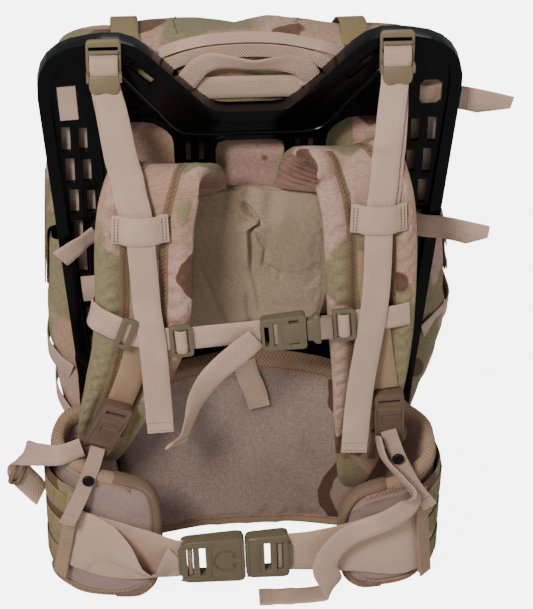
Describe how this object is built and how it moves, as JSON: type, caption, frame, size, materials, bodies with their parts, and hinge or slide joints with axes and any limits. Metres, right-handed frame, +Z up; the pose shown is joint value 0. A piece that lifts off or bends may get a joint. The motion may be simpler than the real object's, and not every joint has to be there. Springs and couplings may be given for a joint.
{
  "type": "military rucksack",
  "caption": "Large camouflage rucksack on a moulded external frame, with padded shoulder straps, a padded hip belt, side pouches, webbing and buckles.",
  "frame": {"origin": "a point on the flat bottom of the bag, in the middle of the rucksack from left to right", "axes": "+Z up the rucksack as it stands, -Y the wearer's side with the harness, +X to the right when looking at the harness"},
  "size_m": [0.483, 0.3899, 0.5642],
  "materials": {
    "frame_plastic": "glossy black moulding",
    "camouflage_cloth": "woven nylon in a sand, olive and brown camouflage",
    "pad_cloth": "plain khaki woven nylon",
    "lining_cloth": "brushed grey lining cloth",
    "webbing": "flat woven nylon webbing",
    "buckle_plastic": "satin khaki moulding",
    "snap_plastic": "black snap button"
  },
  "bodies": {
    "root": {"frame": "frame_plastic", "main_bag": "camouflage_cloth", "bag_lid": "camouflage_cloth", "lid_binding": "webbing", "lid_strap_left": "webbing", "lid_strap_right": "webbing", "handle_band": "webbing", "haul_handle": "webbing", "side_pouch_left": "camouflage_cloth", "pouch_flap_left": "camouflage_cloth", "side_pouch_right": "camouflage_cloth", "pouch_flap_right": "camouflage_cloth", "pouch_strap_left_upper": "webbing", "pouch_strap_left_lower": "webbing", "pouch_strap_right": "webbing", "back_pad": "pad_cloth", "shoulder_pad_left": "camouflage_cloth", "shoulder_pad_right": "camouflage_cloth", "shoulder_webbing_left": "webbing", "shoulder_webbing_right": "webbing", "ladder_lock_left": "buckle_plastic", "ladder_lock_right": "buckle_plastic", "load_lifter_left": "webbing", "keeper_loop_left": "webbing", "load_lifter_right": "webbing", "keeper_loop_right": "webbing", "sternum_strap_left": "webbing", "sternum_strap_right": "webbing", "sternum_slider_left": "buckle_plastic", "sternum_slider_right": "buckle_plastic", "sternum_slider_outer": "buckle_plastic", "sternum_buckle_socket": "buckle_plastic", "sternum_buckle_plug": "buckle_plastic", "sternum_tail": "webbing", "quick_release_left": "buckle_plastic", "quick_release_right": "buckle_plastic", "pull_tab_left": "webbing", "snap_left": "snap_plastic", "pull_tab_right": "webbing", "snap_right": "snap_plastic", "belt_wing_left": "lining_cloth", "lumbar_pad": "pad_cloth", "belt_wing_right": "lining_cloth", "belt_cover_left": "camouflage_cloth", "belt_cover_right": "camouflage_cloth", "belt_webbing_left": "webbing", "belt_webbing_right": "webbing", "belt_buckle_left": "buckle_plastic", "belt_buckle_right": "buckle_plastic", "lower_strap_left": "webbing", "adjuster_left": "buckle_plastic", "lower_strap_right": "webbing", "harness_tab": "webbing", "frame_loop_top_left": "webbing", "frame_end_top_right": "webbing", "frame_end_right": "webbing", "frame_end_left": "webbing", "frame_loop_left": "webbing", "frame_loop_right": "webbing"}
  },
  "joints": []
}
